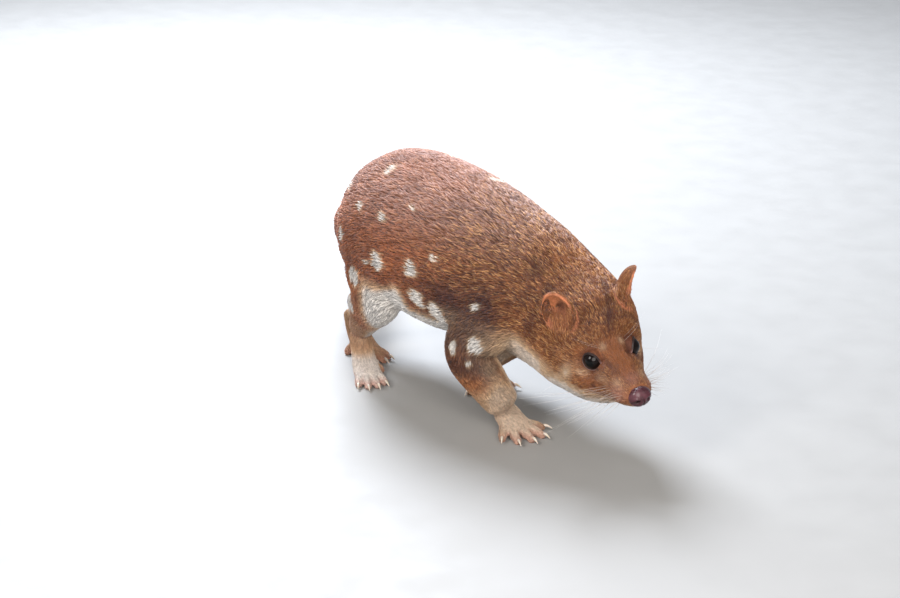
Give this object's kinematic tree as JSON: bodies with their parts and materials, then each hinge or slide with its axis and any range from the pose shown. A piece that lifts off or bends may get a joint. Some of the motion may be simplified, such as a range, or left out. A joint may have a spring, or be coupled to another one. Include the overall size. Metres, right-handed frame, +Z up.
{
  "type": "spotted-tailed quoll",
  "caption": "Life-size still model of a spotted-tailed quoll walking with its head low: brown coat with white spots, pointed face, cupped ears, long tail.",
  "frame": {"origin": "on the floor, under the middle of the whole animal's box", "axes": "+X forward along the trunk, +Y to the animal's left, +Z up"},
  "size_m": [0.5268, 0.26, 0.1804],
  "materials": {
    "fur": "short rich brown fur with white spots",
    "pale_fur": "very short cream fur over pink skin",
    "ear_skin": "thin pink skin with a downy rim",
    "nose_skin": "moist dark pink skin",
    "claw": "pale polished horn",
    "eye": "wet black gloss"
  },
  "bodies": {
    "root": {"torso": "fur", "neck": "fur", "head": "fur", "nose": "nose_skin", "eye_right": "eye", "eye_left": "eye", "ear_right": "ear_skin", "ear_left": "ear_skin", "foreleg_right": "fur", "foreleg_left": "fur", "forefoot_right": "pale_fur", "forefoot_left": "pale_fur", "hindleg_right": "fur", "hindleg_left": "fur", "hindfoot_right": "pale_fur", "hindfoot_left": "pale_fur", "tail_root": "fur", "tail_middle": "fur", "tail_end": "fur", "claw_forefoot_left_1": "claw", "claw_forefoot_left_2": "claw", "claw_forefoot_left_3": "claw", "claw_forefoot_left_4": "claw", "claw_forefoot_left_5": "claw", "claw_forefoot_right_1": "claw", "claw_forefoot_right_2": "claw", "claw_forefoot_right_3": "claw", "claw_forefoot_right_4": "claw", "claw_forefoot_right_5": "claw", "claw_hindfoot_left_2": "claw", "claw_hindfoot_left_3": "claw", "claw_hindfoot_left_4": "claw", "claw_hindfoot_left_5": "claw", "claw_hindfoot_right_2": "claw", "claw_hindfoot_right_3": "claw", "claw_hindfoot_right_4": "claw", "claw_hindfoot_right_5": "claw"}
  },
  "joints": []
}
